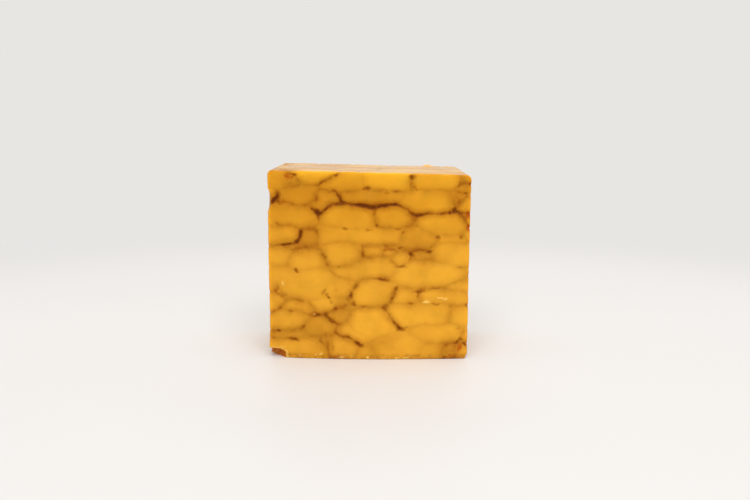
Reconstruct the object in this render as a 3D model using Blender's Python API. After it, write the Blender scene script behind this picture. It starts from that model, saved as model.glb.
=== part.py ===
"""A hand-cut block of cheddar, pressed from milled curd with hot pepper in it.

Metres, +Z up. The block stands on its base with the origin under its middle. +X runs along the
widest side, and the face at -Y is the cut face that shows the curd best. The curds are pressed
flat, so they lie in uneven courses, and the whole block is cut from one bed of them: each seam
that shows on a face is where that face cuts the border between two curds.
"""
import math
import random

import bmesh
import bpy
import numpy as np

MM = 0.001

# The block
WIDTH = 81.7 * MM
DEPTH = 54.0 * MM
HEIGHT_LEFT = 76.9 * MM
HEIGHT_RIGHT = 75.0 * MM
RIGHT_LEAN = 1.15 * MM
FRONT_BOW = 1.5 * MM
LEFT_SWEEP = 3.1 * MM
LEFT_SWEEP_SHARE = 0.6
LEFT_FOOT_SPREAD = 0.45 * MM
LEFT_FOOT_HEIGHT = 14.0 * MM
FOOT_CORNER = 1.3 * MM
FOOT_CORNER_HEIGHT = 2.5 * MM
EDGE_RADIUS = 0.8 * MM
FACE_WAVE = 0.35 * MM
FACE_WAVE_LENGTH = 34.0 * MM
FLAT_FOOT = 4.7 * MM

# The lattice of the faces
CELL = 2.35 * MM
SNAP_REACH = 0.48 * CELL
THINNEST_TRIANGLE = 0.08 * CELL ** 2

# The bed of curd
CURD_HALF_THICKNESS = (4.0 * MM, 5.6 * MM)
CURD_HALF_LENGTH = (7.0 * MM, 15.0 * MM)
CURD_TILT_SPREAD = 0.12
FLATNESS = 1.6
FRONT_CURD_INSET = 2.5 * MM
BED_MARGIN = 6.0 * MM
BED_SPACING = 13.1 * MM
BED_TRIES = 5000
BED_SEED = 23
SEAM_WANDER = 0.35 * MM
SEAM_WANDER_LENGTH = 13.0 * MM
FLATTEST_CROSSING = 0.3

# The relief: curds stand a little proud between their seams
SEAM_DEPTH = (0.15 * MM, 0.45 * MM)
SEAM_SHOULDER = 1.7 * MM

# Damage: a bite out of the lower left corner of the front, a nick in the left edge, and a flake
# on the top
BITE_CORNER = (-41.5 * MM, -25.2 * MM, 0.0)
BITE_REACH = (8.3 * MM, 12.5 * MM, 3.9 * MM)
BITE_SQUARENESS = 4
BITE_ROUGHNESS = 0.05
NICK_CENTRE = (-44.3 * MM, -27.0 * MM, 64.8 * MM)
NICK_RADII = (5.0 * MM, 14.0 * MM, 7.0 * MM)
NICK_WAY = (0.8, 0.6, 0.0)
FLAKE_CENTRE = (25.5 * MM, 24.9 * MM)
FLAKE_HALF_SIZE = (1.9 * MM, 1.6 * MM)
FLAKE_HEIGHT = 0.8 * MM
FLAKE_SLOPE = 0.4

# The upper side edges are worn round: side, and the rounding's radius at the front and the back
WORN_EDGES = ((-1, 2.4 * MM, 5.0 * MM), (1, 3.0 * MM, 4.5 * MM))
WORN_TURNS = (math.radians(22.5), math.radians(45), math.radians(67.5))

# Seeds and pace of the wandering values
RIPPLE_WAVES = 5
RIPPLE_PACE = (0.7, 1.4)
FACE_SEED = 5
WANDER_SEED = 11
DEPTH_SEED = 17
BITE_SEED = 23

CHEESE_COLOUR = (0.68, 0.29, 0.022, 1.0)

# The curds on the front face, course by course from the top, each from left to right:
# centre x and z, half width and half height in millimetres, and tilt in degrees, right end up
FRONT_CURDS = (
    (-34.0, 73.0, 7.0, 4.4, 0),
    (-22.8, 77.0, 8.5, 7.0, 0),
    (-10.5, 71.0, 9.0, 3.9, 0),
    (7.0, 72.0, 10.0, 4.0, 0),
    (26.0, 72.0, 10.5, 3.5, 0),
    (39.5, 73.5, 2.5, 2.5, 0),
    (37.0, 69.5, 2.0, 2.0, 0),

    (-40.5, 67.5, 2.5, 2.5, 0),
    (-29.0, 66.5, 8.0, 4.5, -14),
    (-17.8, 63.8, 7.6, 3.4, 50),
    (0.0, 66.2, 13.2, 2.9, 0),
    (23.5, 64.0, 10.5, 4.5, 0),
    (34.5, 65.0, 2.5, 4.0, 0),
    (38.5, 63.0, 2.5, 4.0, 0),

    (-41.0, 57.0, 2.0, 3.0, 0),
    (-30.4, 59.0, 10.3, 4.6, -9),
    (-9.0, 57.9, 11.6, 5.2, -12),
    (9.0, 57.5, 7.0, 5.0, 0),
    (29.0, 54.5, 10.5, 4.5, 0),
    (40.0, 56.0, 1.5, 3.0, 0),

    (-35.0, 50.5, 7.0, 3.5, 0),
    (-24.5, 50.0, 3.5, 3.0, 0),
    (-4.0, 50.5, 17.5, 3.5, 0),
    (19.5, 49.5, 6.5, 5.5, 0),
    (33.0, 49.5, 6.0, 2.0, 0),
    (39.5, 50.5, 2.0, 2.5, 0),

    (-29.5, 45.7, 3.0, 1.0, 0),
    (-36.5, 42.5, 5.0, 3.5, 0),
    (-25.5, 41.0, 7.0, 5.0, 20),
    (-11.0, 43.5, 8.0, 5.0, 0),
    (1.2, 44.0, 4.3, 1.5, 0),
    (12.8, 40.8, 3.7, 3.7, 0),
    (8.0, 43.6, 2.2, 1.6, 0),
    (21.0, 42.0, 4.0, 2.0, 0),
    (32.5, 42.5, 8.5, 5.0, -10),

    (-35.3, 31.8, 6.5, 6.0, 0),
    (-23.0, 30.0, 9.0, 8.0, 0),
    (-11.5, 30.0, 4.2, 5.8, 0),
    (-18.6, 22.8, 4.3, 4.4, 0),
    (-1.5, 36.4, 12.5, 3.6, 11),
    (24.0, 35.0, 13.5, 5.5, 0),

    (1.2, 27.2, 8.6, 5.9, 0),
    (14.0, 25.0, 5.5, 3.5, 0),
    (30.0, 25.5, 10.0, 3.0, 0),
    (36.5, 29.5, 5.0, 2.0, 0),

    (-40.3, 23.2, 3.8, 4.2, 0),
    (-28.6, 21.1, 6.2, 2.4, 0),
    (-33.0, 15.7, 8.5, 4.4, 6),
    (-12.5, 17.6, 3.5, 3.3, 0),
    (-20.5, 13.5, 6.5, 3.5, 10),
    (1.0, 14.5, 8.5, 7.5, -20),
    (-6.5, 10.5, 7.5, 3.5, -28),
    (19.5, 18.3, 13.5, 5.0, 0),
    (37.5, 17.5, 4.0, 5.0, 0),

    (-33.0, 10.0, 6.5, 1.8, 14),
    (-18.0, 7.0, 2.5, 3.0, 0),
    (27.0, 10.5, 10.5, 3.8, 0),
    (39.5, 9.0, 2.0, 2.5, 0),

    (-35.0, 5.0, 7.0, 3.5, 0),
    (-23.5, 4.5, 7.0, 4.0, 0),
    (-10.8, 5.5, 7.2, 4.2, -24),
    (-1.5, 2.5, 3.5, 2.5, 0),
    (12.0, 5.0, 10.5, 5.0, 0),
    (25.0, 3.0, 5.5, 3.0, 0),
    (32.0, 3.0, 3.0, 2.5, 0),
    (38.0, 3.0, 3.0, 3.0, 0),
)


def clear_scene():
    for existing in list(bpy.data.objects):
        bpy.data.objects.remove(existing, do_unlink=True)


def lattice_lines(length):
    """Places along one side of the block: both ends, the end of each rounding, and even steps."""
    inner = length - 2 * EDGE_RADIUS
    steps = round(inner / CELL)
    even = [EDGE_RADIUS + inner * step / steps for step in range(steps + 1)]
    return [0.0] + even + [length]


def lattice_shell():
    """The six faces of the block as one closed sheet of quads."""
    sides = [lattice_lines(length) for length in (WIDTH, DEPTH, HEIGHT_LEFT)]
    last = [len(side) - 1 for side in sides]
    index = {}
    points = []
    quads = []

    def corner(place):
        if place not in index:
            index[place] = len(points)
            points.append([sides[axis][place[axis]] for axis in range(3)])
        return index[place]

    for axis in range(3):
        u, v = (axis + 1) % 3, (axis + 2) % 3
        for end in (0, last[axis]):
            for i in range(last[u]):
                for j in range(last[v]):
                    ring = []
                    for du, dv in ((0, 0), (1, 0), (1, 1), (0, 1)):
                        place = [0, 0, 0]
                        place[axis], place[u], place[v] = end, i + du, j + dv
                        ring.append(corner(tuple(place)))
                    quads.append(ring if end else ring[::-1])
    middle = np.array([WIDTH / 2, DEPTH / 2, 0.0])
    return np.array(points) - middle, quads


def round_edges(points):
    """Rounds the block's edges. Gives the new points and the way out of the block at each."""
    low = np.array([-WIDTH / 2, -DEPTH / 2, 0.0]) + EDGE_RADIUS
    high = np.array([WIDTH / 2, DEPTH / 2, HEIGHT_LEFT]) - EDGE_RADIUS
    core = np.clip(points, low, high)
    outward = points - core
    outward /= np.linalg.norm(outward, axis=1)[:, None]
    return core + outward * EDGE_RADIUS, outward


def free_to_slide(points):
    """Which ways a point may move and stay on its face: 1 along the face, 0 across or at an edge."""
    half = np.array([WIDTH, DEPTH, HEIGHT_LEFT]) / 2
    from_middle = np.abs(points - np.array([0.0, 0.0, HEIGHT_LEFT / 2]))
    return (from_middle < half - EDGE_RADIUS - SNAP_REACH / 2).astype(float)


def ripple(points, length, seed):
    """A smooth wandering value from -1 to 1 at each point."""
    rng = np.random.default_rng(seed)
    total = np.zeros(len(points))
    for wave in range(RIPPLE_WAVES):
        way = rng.normal(size=3)
        way /= np.linalg.norm(way)
        pace = 2 * np.pi / (length * rng.uniform(*RIPPLE_PACE))
        total += np.sin(points @ way * pace + rng.uniform(0, 2 * np.pi))
    return total / RIPPLE_WAVES


def cut_shape(points, outward):
    """The cut faces: a sloping top, a leaning side, a bowed, wavy front and its worn foot."""
    shaped = points.copy()
    across = points[:, 0] / WIDTH + 0.5
    forward = 0.5 - points[:, 1] / DEPTH
    rise = points[:, 2] / HEIGHT_LEFT
    shaped[:, 2] *= (HEIGHT_LEFT + (HEIGHT_RIGHT - HEIGHT_LEFT) * across) / HEIGHT_LEFT
    shaped[:, 0] -= RIGHT_LEAN * across * (1 - rise)
    bulge = 4 * across * (1 - across) * (1 - rise) ** 2
    shaped[:, 1] += FRONT_BOW * forward * (1 - bulge)
    sweep = np.clip(1 - across / LEFT_SWEEP_SHARE, 0, 1) ** 2 * (1 - rise) ** 2
    shaped[:, 1] += LEFT_SWEEP * forward * sweep
    low = np.clip(1 - points[:, 2] / FOOT_CORNER_HEIGHT, 0, 1) ** 2
    shaped[:, 0] -= FOOT_CORNER * low * across ** 8
    spread = np.clip(1 - points[:, 2] / LEFT_FOOT_HEIGHT, 0, 1) * (1 - across) ** 8
    shaped[:, 0] -= LEFT_FOOT_SPREAD * spread * forward
    dip = FACE_WAVE * (ripple(points, FACE_WAVE_LENGTH, FACE_SEED) - 1) / 2
    dip *= np.clip(points[:, 2] / FLAT_FOOT, 0, 1)
    return shaped + outward * dip[:, None]


def wear_edges(points):
    """Rubs down the two upper side edges, more and more towards the back."""
    worn = points.copy()
    backward = np.clip(points[:, 1] / DEPTH + 0.5, 0, 1)
    for side, front_radius, back_radius in WORN_EDGES:
        radius = front_radius + (back_radius - front_radius) * backward
        corner = np.array([side * WIDTH / 2, 0, HEIGHT_LEFT if side < 0 else HEIGHT_RIGHT])
        for turn in WORN_TURNS:
            way = np.array([side * math.cos(turn), 0, math.sin(turn)])
            loss = radius * (math.cos(turn) + math.sin(turn) - 1)
            over = np.maximum((worn - corner) @ way + loss, 0)
            worn -= way * over[:, None]
    return worn


def curd_balls(centre, half_length, half_thickness, heading, tilt):
    """A curd as a row of balls, in the bed before pressing, where z is FLATNESS times longer."""
    radius = half_thickness * FLATNESS
    reach = half_length - radius
    if reach <= 0:
        radius = (half_length * half_thickness * FLATNESS) ** 0.5
        steps = [0.0]
    else:
        steps = np.linspace(-reach, reach, max(2, int(np.ceil(2 * reach / radius)) + 1))
    way = np.array([np.cos(heading) * np.cos(tilt), np.sin(heading) * np.cos(tilt), np.sin(tilt)])
    stretch = np.array([1, 1, FLATNESS])
    return [((centre + way * step) * stretch, radius) for step in steps]


def front_curds():
    face = -DEPTH / 2 + FRONT_CURD_INSET
    for x, z, half_width, half_height, tilt in FRONT_CURDS:
        centre = np.array([x * MM, face, z * MM])
        yield curd_balls(centre, half_width * MM, half_height * MM, 0.0, np.radians(tilt))


def bed_curds(rng, taken):
    """Fills the rest of the block with curds that keep their distance from those before them."""
    low = (-WIDTH / 2 - BED_MARGIN, -DEPTH / 2 + BED_MARGIN, -BED_MARGIN)
    high = (WIDTH / 2 + BED_MARGIN, DEPTH / 2 + BED_MARGIN, HEIGHT_LEFT + BED_MARGIN)
    for attempt in range(BED_TRIES):
        centre = np.array([rng.uniform(a, b) for a, b in zip(low, high)])
        half_thickness = rng.uniform(*CURD_HALF_THICKNESS)
        half_length = rng.uniform(*CURD_HALF_LENGTH)
        heading = rng.uniform(0, np.pi)
        tilt = rng.gauss(0, CURD_TILT_SPREAD)
        balls = curd_balls(centre, half_length, half_thickness, heading, tilt)
        places = np.array([place for place, radius in balls])
        gaps = np.linalg.norm(np.array(taken)[None] - places[:, None], axis=2)
        if gaps.min() > BED_SPACING:
            taken.extend(places)
            yield balls


def lay_bed():
    """Every ball in the block: places, radii, and the number of the curd that each belongs to."""
    curds = list(front_curds())
    taken = [place for balls in curds for place, radius in balls]
    curds.extend(bed_curds(random.Random(BED_SEED), taken))
    places = np.array([place for balls in curds for place, radius in balls])
    radii = np.array([radius for balls in curds for place, radius in balls])
    owners = np.array([number for number, balls in enumerate(curds) for ball in balls])
    return places, radii, owners


def seam_slope(points, bed):
    """How much nearer each point is to its own curd than to the next, and the way that falls."""
    places, radii, owners = bed
    loose = points.copy()
    for axis in range(3):
        loose[:, axis] += SEAM_WANDER * ripple(points, SEAM_WANDER_LENGTH, WANDER_SEED + axis)
    loose[:, 2] *= FLATNESS
    power = (loose ** 2).sum(1)[:, None] - 2 * loose @ places.T + (places ** 2).sum(1) - radii ** 2
    rows = np.arange(len(points))
    own = power.argmin(1)
    nearest = power[rows, own]
    power[owners[None] == owners[own][:, None]] = np.inf
    other = power.argmin(1)
    way = places[other] - places[own]
    way[:, 2] *= FLATNESS
    return (power[rows, other] - nearest) / 2, way


def seam_distance(points, slide, bed):
    """How far each point is from its seam along the face, and the step that takes it there."""
    excess, way = seam_slope(points, bed)
    along = way * slide
    steepness = np.maximum((along ** 2).sum(1), FLATTEST_CROSSING ** 2 * (way ** 2).sum(1))
    return excess / np.sqrt(steepness), along * (excess / steepness)[:, None]


def snap_to_seams(points, slide, bed):
    """Moves the points nearest to a seam onto it, so that the lattice follows the seams."""
    distance, step = seam_distance(points, slide, bed)
    near = distance < SNAP_REACH
    moved = points.copy()
    moved[near] += step[near]
    return moved


def press_nick(points):
    """Pushes the points inside the nick's ellipsoid into the block, out to its far wall."""
    offset = (points - NICK_CENTRE) / NICK_RADII
    step = np.array(NICK_WAY) / NICK_RADII
    a = (step ** 2).sum()
    b = offset @ step
    c = (offset ** 2).sum(1) - 1
    travel = np.where(c < 0, (-b + np.sqrt(np.maximum(b ** 2 - a * c, 0))) / a, 0)
    return points + travel[:, None] * NICK_WAY


def sink_seams(points, outward, distance):
    """Sinks the seams into every face but the base, which stays flat to stand on."""
    shallow, deep = SEAM_DEPTH
    change = (1 + ripple(points, SEAM_WANDER_LENGTH, DEPTH_SEED)) / 2
    depth = (shallow + (deep - shallow) * change) * np.clip(1 - distance / SEAM_SHOULDER, 0, 1)
    depth *= outward[:, 2] > -0.1
    return points - outward * depth[:, None]


def split_quads(points, quads, distance):
    """Halves each quad along the diagonal nearer to a seam, unless that leaves a thin triangle."""
    ring = np.array(quads)
    corners = points[ring]

    def halves(start):
        order = np.roll(np.arange(4), -start)
        first, second = order[[0, 1, 2]], order[[0, 2, 3]]
        sizes = []
        for half in (first, second):
            a, b, c = (corners[:, place] for place in half)
            sizes.append(np.linalg.norm(np.cross(b - a, c - a), axis=1) / 2)
        return first, second, np.minimum(*sizes)

    along, across = halves(0), halves(1)
    depth = distance[ring]
    prefer_along = depth[:, 0] + depth[:, 2] <= depth[:, 1] + depth[:, 3]
    preferred = np.where(prefer_along, along[2], across[2])
    pick_along = np.where(preferred > THINNEST_TRIANGLE, prefer_along, along[2] > across[2])
    triangles = []
    for quad, choice in zip(ring, pick_along):
        first, second, size = along if choice else across
        triangles.append(quad[first].tolist())
        triangles.append(quad[second].tolist())
    return triangles


def bite_cutter():
    """The shape of the piece that broke out: a rough wedge with a flat top and a slanted wall."""
    rng = random.Random(BITE_SEED)
    pebble = bmesh.new()
    bmesh.ops.create_icosphere(pebble, subdivisions=3, radius=1.0)
    for vertex in pebble.verts:
        level = (abs(vertex.co.x) + abs(vertex.co.y)) ** BITE_SQUARENESS
        size = (level + abs(vertex.co.z) ** BITE_SQUARENESS) ** (1 / BITE_SQUARENESS)
        vertex.co *= (1 + rng.uniform(-BITE_ROUGHNESS, BITE_ROUGHNESS)) / size
    bmesh.ops.scale(pebble, verts=pebble.verts, vec=BITE_REACH)
    bmesh.ops.translate(pebble, verts=pebble.verts, vec=BITE_CORNER)
    mesh = bpy.data.meshes.new("bite_cutter")
    pebble.to_mesh(mesh)
    pebble.free()
    cutter = bpy.data.objects.new("bite_cutter", mesh)
    cutter.hide_render = True
    cutter.display_type = "WIRE"
    bpy.context.scene.collection.objects.link(cutter)
    return cutter


def raise_flake(points, outward):
    """A flake of curd that stands up from the top near the back edge."""
    from_centre = np.abs(points[:, :2] - FLAKE_CENTRE) / FLAKE_HALF_SIZE
    lift = FLAKE_HEIGHT * np.clip(1 + FLAKE_SLOPE - from_centre.max(1), 0, 1) * (outward[:, 2] > 0.5)
    raised = points.copy()
    raised[:, 2] += lift
    return raised


def build_block():
    points, quads = lattice_shell()
    slide = free_to_slide(points)
    points, outward = round_edges(points)
    points = cut_shape(points, outward)
    bed = lay_bed()
    points = wear_edges(snap_to_seams(points, slide, bed))
    distance, step = seam_distance(points, slide, bed)
    points = sink_seams(points, outward, distance)
    points = raise_flake(points, outward)
    points = press_nick(points)

    mesh = bpy.data.meshes.new("cheese_block")
    mesh.from_pydata(points.tolist(), [], split_quads(points, quads, distance))
    block = bpy.data.objects.new("cheese_block", mesh)
    bpy.context.scene.collection.objects.link(block)
    bite = block.modifiers.new("bite", "BOOLEAN")
    bite.operation = "DIFFERENCE"
    bite.solver = "EXACT"
    bite.object = bite_cutter()
    return block


def cheese_material():
    material = bpy.data.materials.new("cheddar")
    material.use_nodes = True
    shader = material.node_tree.nodes["Principled BSDF"]
    shader.inputs["Base Color"].default_value = CHEESE_COLOUR
    shader.inputs["Roughness"].default_value = 0.5
    shader.inputs["Metallic"].default_value = 0.0
    return material


clear_scene()
cheese_block = build_block()
cheese_block.data.materials.append(cheese_material())
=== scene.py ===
import math
import random

import bpy
import numpy as np
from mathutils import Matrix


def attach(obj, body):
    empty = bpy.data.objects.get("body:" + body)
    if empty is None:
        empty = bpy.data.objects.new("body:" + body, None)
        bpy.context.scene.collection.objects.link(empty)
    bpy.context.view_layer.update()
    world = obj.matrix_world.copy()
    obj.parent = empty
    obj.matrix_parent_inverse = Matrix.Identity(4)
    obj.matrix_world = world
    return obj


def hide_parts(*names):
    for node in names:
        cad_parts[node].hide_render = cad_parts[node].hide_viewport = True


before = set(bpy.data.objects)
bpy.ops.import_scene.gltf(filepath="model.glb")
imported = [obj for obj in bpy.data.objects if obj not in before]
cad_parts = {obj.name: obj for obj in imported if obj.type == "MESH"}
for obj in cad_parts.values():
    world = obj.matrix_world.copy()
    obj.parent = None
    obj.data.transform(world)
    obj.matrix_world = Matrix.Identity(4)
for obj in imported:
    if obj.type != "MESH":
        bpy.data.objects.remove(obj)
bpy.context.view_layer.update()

# The looks of a hand-cut block of cheddar, pressed from milled curd with hot pepper in it.
# Metres, +Z up, with the front cut face at -Y. The bed of curd is the solid's own, worked out
# again on a far finer lattice, so that the seams' relief and colour fall on the same borders.

MM = 0.001

# The block, as in the solid
WIDTH = 81.7 * MM
DEPTH = 54.0 * MM
HEIGHT_LEFT = 76.9 * MM
HEIGHT_RIGHT = 75.0 * MM
RIGHT_LEAN = 1.15 * MM
FRONT_BOW = 1.5 * MM
LEFT_SWEEP = 3.1 * MM
LEFT_SWEEP_SHARE = 0.6
LEFT_FOOT_SPREAD = 0.45 * MM
LEFT_FOOT_HEIGHT = 14.0 * MM
FOOT_CORNER = 1.3 * MM
FOOT_CORNER_HEIGHT = 2.5 * MM
EDGE_RADIUS = 0.8 * MM
FACE_WAVE = 0.35 * MM
FACE_WAVE_LENGTH = 34.0 * MM
FLAT_FOOT = 4.7 * MM

# How square the foot's edges stay: 0 as round as the others, 1 not rounded at all
FOOT_SHARPNESS = 0.7

# The lattice of the faces: steps along X, Y and Z, steps round an edge, how near to a seam a
# point has to be to move onto it and how often that is done, and the smallest triangle
CELLS = (0.52 * MM, 0.76 * MM, 0.52 * MM)
EDGE_STEPS = 3
SNAP_REACH = 0.22 * MM
SNAP_TURNS = 2
THINNEST_TRIANGLE = 0.012 * MM ** 2

# How many points are worked on at a time
BATCH = 8192

# The bed of curd, as in the solid
CURD_HALF_THICKNESS = (4.0 * MM, 5.6 * MM)
CURD_HALF_LENGTH = (7.0 * MM, 15.0 * MM)
CURD_TILT_SPREAD = 0.12
FLATNESS = 1.6
FRONT_CURD_INSET = 2.5 * MM
BED_MARGIN = 6.0 * MM
BED_SPACING = 13.1 * MM
BED_TRIES = 5000
BED_SEED = 23
SEAM_WANDER = 0.35 * MM
SEAM_WANDER_LENGTH = 13.0 * MM
FLATTEST_CROSSING = 0.3

# The seams' finest wandering, too fine for the solid's triangles
FINE_WANDER = 0.22 * MM
FINE_WANDER_LENGTH = 4.5 * MM

# The relief: seams and crowns, knots and crumbs, and the foot where the cut crumbled
SEAM_DEPTH = (0.04 * MM, 0.35 * MM)
SEAM_SHOULDER = 0.8 * MM
CROWN_DEPTH = 0.10 * MM
CROWN_SHOULDER = 3.0 * MM
CORNER_ROUNDING = 0.42 * MM
KNOT_DEPTH = 0.4 * MM
KNOT_SHALLOWEST = 0.35
CRUMB_RISE = 0.35 * MM
CRUMB_LOWEST = 0.3
FOOT_RAGGED = 0.35 * MM
FOOT_HEIGHT = 1.6 * MM
CRUMBLE_LENGTHS = (4.0 * MM, 1.7 * MM)

# The bright glow along the edges, painted light: how far it reaches, its stretch along the front's top
# edge, called the brow, and how strong it is on the rest of the top
EDGE_GLOW_START = 0.2 * MM
EDGE_GLOW_REACH = 0.85 * MM
BROW_GLOW_REACH = 1.8 * MM
BROW_MIDDLE = -6.4 * MM
BROW_HALF_LENGTH = 21.9 * MM
BROW_FADE = 3.0 * MM
BROW_LOSS = 0.75
TOP_GLOW = 0.62
TOP_GLOW_TURN = 5.0 * MM

# The bite out of the lower left corner, its place and outline as in the solid. Then the way that
# points move out of it, how rough its wall is, and how often that wall's place is halved.
BITE_CORNER = (-41.5 * MM, -25.2 * MM, 0.0)
BITE_REACH = (8.3 * MM, 12.5 * MM, 3.9 * MM)
BITE_SQUARENESS = 4
BITE_WAY = (0.62, 0.62, 0.48)
BITE_CRAGS = 0.07
BITE_CRAG_LENGTH = 2.6 * MM
BITE_HALVINGS = 16

# The nick in the left edge, as in the solid: an ellipsoid, and the way that points move out of it
NICK_CENTRE = (-44.3 * MM, -27.0 * MM, 64.8 * MM)
NICK_RADII = (5.0 * MM, 14.0 * MM, 7.0 * MM)
NICK_WAY = (0.8, 0.6, 0.0)

# The flake on the top, a little smaller than in the solid, whose triangles are larger
FLAKE_CENTRE = (25.5 * MM, 24.9 * MM)
FLAKE_HALF_SIZE = (1.8 * MM, 1.4 * MM)
FLAKE_HEIGHT = 0.7 * MM
FLAKE_SLOPE = 0.4

# The upper side edges are worn round, as in the solid: side, and the rounding's radius at the
# front and the back
WORN_EDGES = ((-1, 2.4 * MM, 5.0 * MM), (1, 3.0 * MM, 4.5 * MM))
WORN_TURNS = (math.radians(22.5), math.radians(45), math.radians(67.5))

# The wandering values: their waves and pace, and the seed of each
RIPPLE_WAVES = 5
RIPPLE_PACE = (0.7, 1.4)
FACE_SEED = 5
WANDER_SEED = 11
FINE_SEED = 17
CRUMBLE_SEEDS = (61, 67)
SPOT_SEED = 71
FADE_SEED = 79
KNOT_SEED = 83

# The curds on the front face, course by course from the top, each from left to right: name,
# centre x and z, half width and half height in millimetres, tilt in degrees, right end up,
# and tone, from -1 for brown to 1 for bright
FRONT_CURDS = (
    ("a1", -34.0, 73.0, 7.0, 4.4, 0, -0.35),
    ("a2", -22.8, 77.0, 8.5, 7.0, 0, 0.3),
    ("a3", -10.5, 71.0, 9.0, 3.9, 0, -0.35),
    ("a4", 7.0, 72.0, 10.0, 4.0, 0, 0.4),
    ("a5", 26.0, 72.0, 10.5, 3.5, 0, 0.4),
    ("a6", 39.5, 73.5, 2.5, 2.5, 0, 0.0),
    ("a7", 37.0, 69.5, 2.0, 2.0, 0, -0.5),

    ("b1", -40.5, 67.5, 2.5, 2.5, 0, -0.3),
    ("b2", -29.0, 66.5, 8.0, 4.5, -14, -0.5),
    ("b3", -17.8, 63.8, 7.6, 3.4, 50, -0.6),
    ("b4", 0.0, 66.2, 13.2, 2.9, 0, -0.55),
    ("b5", 23.5, 64.0, 10.5, 4.5, 0, 0.0),
    ("b6", 34.5, 65.0, 2.5, 4.0, 0, -0.8),
    ("b7", 38.5, 63.0, 2.5, 4.0, 0, 0.1),

    ("c1", -41.0, 57.0, 2.0, 3.0, 0, 0.2),
    ("c2", -30.4, 59.0, 10.3, 4.6, -9, -0.25),
    ("c3", -9.0, 57.9, 11.6, 5.2, -12, -0.1),
    ("c4", 9.0, 57.5, 7.0, 5.0, 0, -0.1),
    ("c5", 29.0, 54.5, 10.5, 4.5, 0, 0.1),
    ("c6", 40.0, 56.0, 1.5, 3.0, 0, -0.4),

    ("d1", -35.0, 50.5, 7.0, 3.5, 0, -0.1),
    ("d2", -24.5, 50.0, 3.5, 3.0, 0, -0.8),
    ("d3", -4.0, 50.5, 17.5, 3.5, 0, 0.0),
    ("d4", 19.5, 49.5, 6.5, 5.5, 0, -0.5),
    ("d5", 33.0, 49.5, 6.0, 2.0, 0, 0.0),
    ("d6", 39.5, 50.5, 2.0, 2.5, 0, 0.2),

    ("e1", -29.5, 45.7, 3.0, 1.0, 0, -0.6),
    ("e2", -36.5, 42.5, 5.0, 3.5, 0, 0.0),
    ("e3", -25.5, 41.0, 7.0, 5.0, 20, 0.0),
    ("e4", -11.0, 43.5, 8.0, 5.0, 0, -0.1),
    ("e5", 1.2, 44.0, 4.3, 1.5, 0, -0.3),
    ("e6", 12.8, 40.8, 3.7, 3.7, 0, -0.1),
    ("e9", 8.0, 43.6, 2.2, 1.6, 0, -0.3),
    ("e7", 21.0, 42.0, 4.0, 2.0, 0, -0.5),
    ("e8", 32.5, 42.5, 8.5, 5.0, -10, 0.2),

    ("f1", -35.3, 31.8, 6.5, 6.0, 0, 0.0),
    ("f2", -23.0, 30.0, 9.0, 8.0, 0, 0.3),
    ("f3", -11.5, 30.0, 4.2, 5.8, 0, -0.1),
    ("f6", -18.6, 22.8, 4.3, 4.4, 0, 0.1),
    ("f4", -1.5, 36.4, 12.5, 3.6, 11, 0.1),
    ("f5", 24.0, 35.0, 13.5, 5.5, 0, 0.3),

    ("g1", 1.2, 27.2, 8.6, 5.9, 0, 0.15),
    ("g2", 14.0, 25.0, 5.5, 3.5, 0, 0.0),
    ("g3", 30.0, 25.5, 10.0, 3.0, 0, 0.2),
    ("g4", 36.5, 29.5, 5.0, 2.0, 0, 0.1),

    ("h1", -40.3, 23.2, 3.8, 4.2, 0, 0.3),
    ("h2", -28.6, 21.1, 6.2, 2.4, 0, -0.3),
    ("h3", -33.0, 15.7, 8.5, 4.4, 6, 0.0),
    ("h4", -12.5, 17.6, 3.5, 3.3, 0, -0.42),
    ("h5", -20.5, 13.5, 6.5, 3.5, 10, -0.5),
    ("h6", 1.0, 14.5, 8.5, 7.5, -20, 0.4),
    ("h7", -6.5, 10.5, 7.5, 3.5, -28, 0.0),
    ("h8", 19.5, 18.3, 13.5, 5.0, 0, 0.3),
    ("h9", 37.5, 17.5, 4.0, 5.0, 0, 0.3),

    ("i1", -33.0, 10.0, 6.5, 1.8, 14, -0.5),
    ("i2", -18.0, 7.0, 2.5, 3.0, 0, -0.6),
    ("i3", 27.0, 10.5, 10.5, 3.8, 0, 0.2),
    ("i4", 39.5, 9.0, 2.0, 2.5, 0, 0.1),

    ("j1", -35.0, 5.0, 7.0, 3.5, 0, 0.0),
    ("j2", -23.5, 4.5, 7.0, 4.0, 0, 0.0),
    ("j3", -10.8, 5.5, 7.2, 4.2, -24, -0.1),
    ("j4", -1.5, 2.5, 3.5, 2.5, 0, -0.1),
    ("j5", 12.0, 5.0, 10.5, 5.0, 0, 0.1),
    ("j6", 25.0, 3.0, 5.5, 3.0, 0, -0.1),
    ("j7", 32.0, 3.0, 3.0, 2.5, 0, -0.4),
    ("j8", 38.0, 3.0, 3.0, 3.0, 0, -0.4),
)

# On the other faces chance decides how dark the seams are, where they fade, which of their
# meetings have knots, and each curd's tone
CHANCE_INK = 0.68
CHANCE_SKEW = 1.8
CHANCE_FADE = 0.45
FADE_LENGTH = 12.0 * MM
MEETING_REACH = (0.7 * MM, 2.2 * MM)
KNOT_PATCH_LENGTH = 15.0 * MM
KNOT_SHARE = (2.2, 0.25)
KNOT_LIMIT = 0.85
TONE_SPREAD = 0.3
TONE_RANGE = (-0.8, 0.5)
INK_SEED = 31
TONE_SEED = 43

# How many seams each point feels, and how wide the change is from one seam's darkness or one
# curd's tone to the next
SEAMS_FELT = 3
INK_BLEND = 0.5 * MM
TONE_BLEND = 1.2 * MM

# How far spots are stirred out of round, in millimetres, by waves how long, and how fast they fade
SPOT_STIR = 0.35
SPOT_STIR_LENGTH = 2.6 * MM
SPOT_FALL = 0.7

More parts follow.
